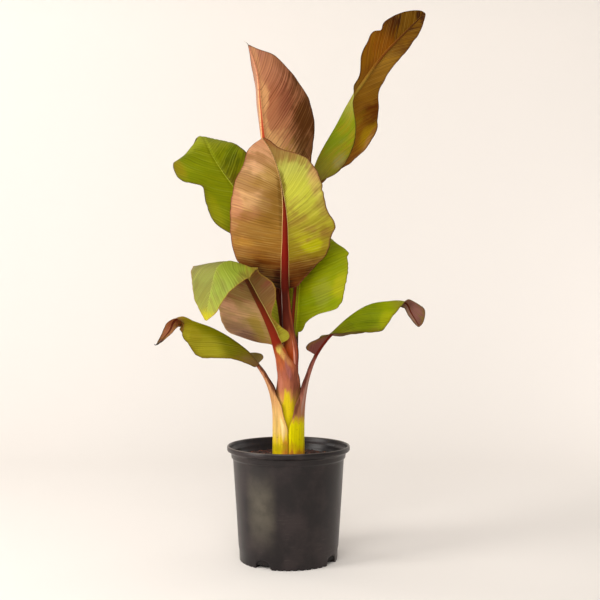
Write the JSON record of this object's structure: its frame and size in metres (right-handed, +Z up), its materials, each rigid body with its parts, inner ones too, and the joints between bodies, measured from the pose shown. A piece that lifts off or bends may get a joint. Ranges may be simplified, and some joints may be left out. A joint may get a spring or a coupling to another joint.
{
  "type": "potted banana plant",
  "caption": "Young red banana plant with broad arching green and copper leaves, standing in a round black nursery pot of soil.",
  "frame": {"origin": "middle of the pot's underside, on the surface that the pot stands on", "axes": "+Z up along the pot's axis, -Y towards the viewer of the front, +X to the viewer's right"},
  "size_m": [0.5713, 0.3958, 1.1777],
  "materials": {
    "black_plastic": "satin black with dust and faint scratches",
    "potting_soil": "coarse dark red-brown bark mix, matte",
    "green_leaf": "smooth veined leaf, satin, green above",
    "copper_leaf": "smooth veined leaf, satin, copper red below with a dark red midrib"
  },
  "bodies": {
    "root": {"pot": "black_plastic", "soil": "potting_soil", "leaf_low_left": "green_leaf", "leaf_low_right": "green_leaf", "leaf_front_left": "copper_leaf", "leaf_back_right": "green_leaf", "leaf_front": "copper_leaf", "leaf_back_left": "green_leaf", "leaf_middle": "copper_leaf", "leaf_top_right": "copper_leaf"}
  },
  "joints": []
}
